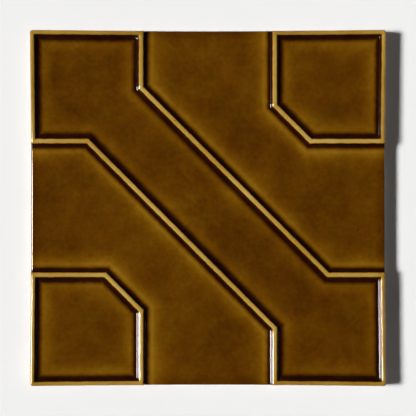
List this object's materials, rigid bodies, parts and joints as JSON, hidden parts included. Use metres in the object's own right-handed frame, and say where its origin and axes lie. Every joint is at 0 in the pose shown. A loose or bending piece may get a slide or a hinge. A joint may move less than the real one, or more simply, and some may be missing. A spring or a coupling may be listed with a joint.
{
  "type": "ceramic accent tile",
  "caption": "Square ceramic tile with raised ribs outlining a diagonal band and two corner fields, under a glossy amber glaze, with a bare keyed back.",
  "frame": {"origin": "middle of the bare back, on the surface that the tile lies on", "axes": "+Z out of the glazed face, square to it; X and Y along the tile's sides, with the diagonal band running from the -X +Y corner to the +X -Y corner"},
  "size_m": [0.152, 0.152, 0.0095],
  "materials": {
    "amber_glaze": "glossy translucent amber glaze over a buff clay body: honey on the rib crests, near black in the angles beside them, amber where it pools and dark brown in the fields; the back and the lower part of the sides are bare matt clay"
  },
  "bodies": {
    "root": {"accent_tile": "amber_glaze"}
  },
  "joints": []
}
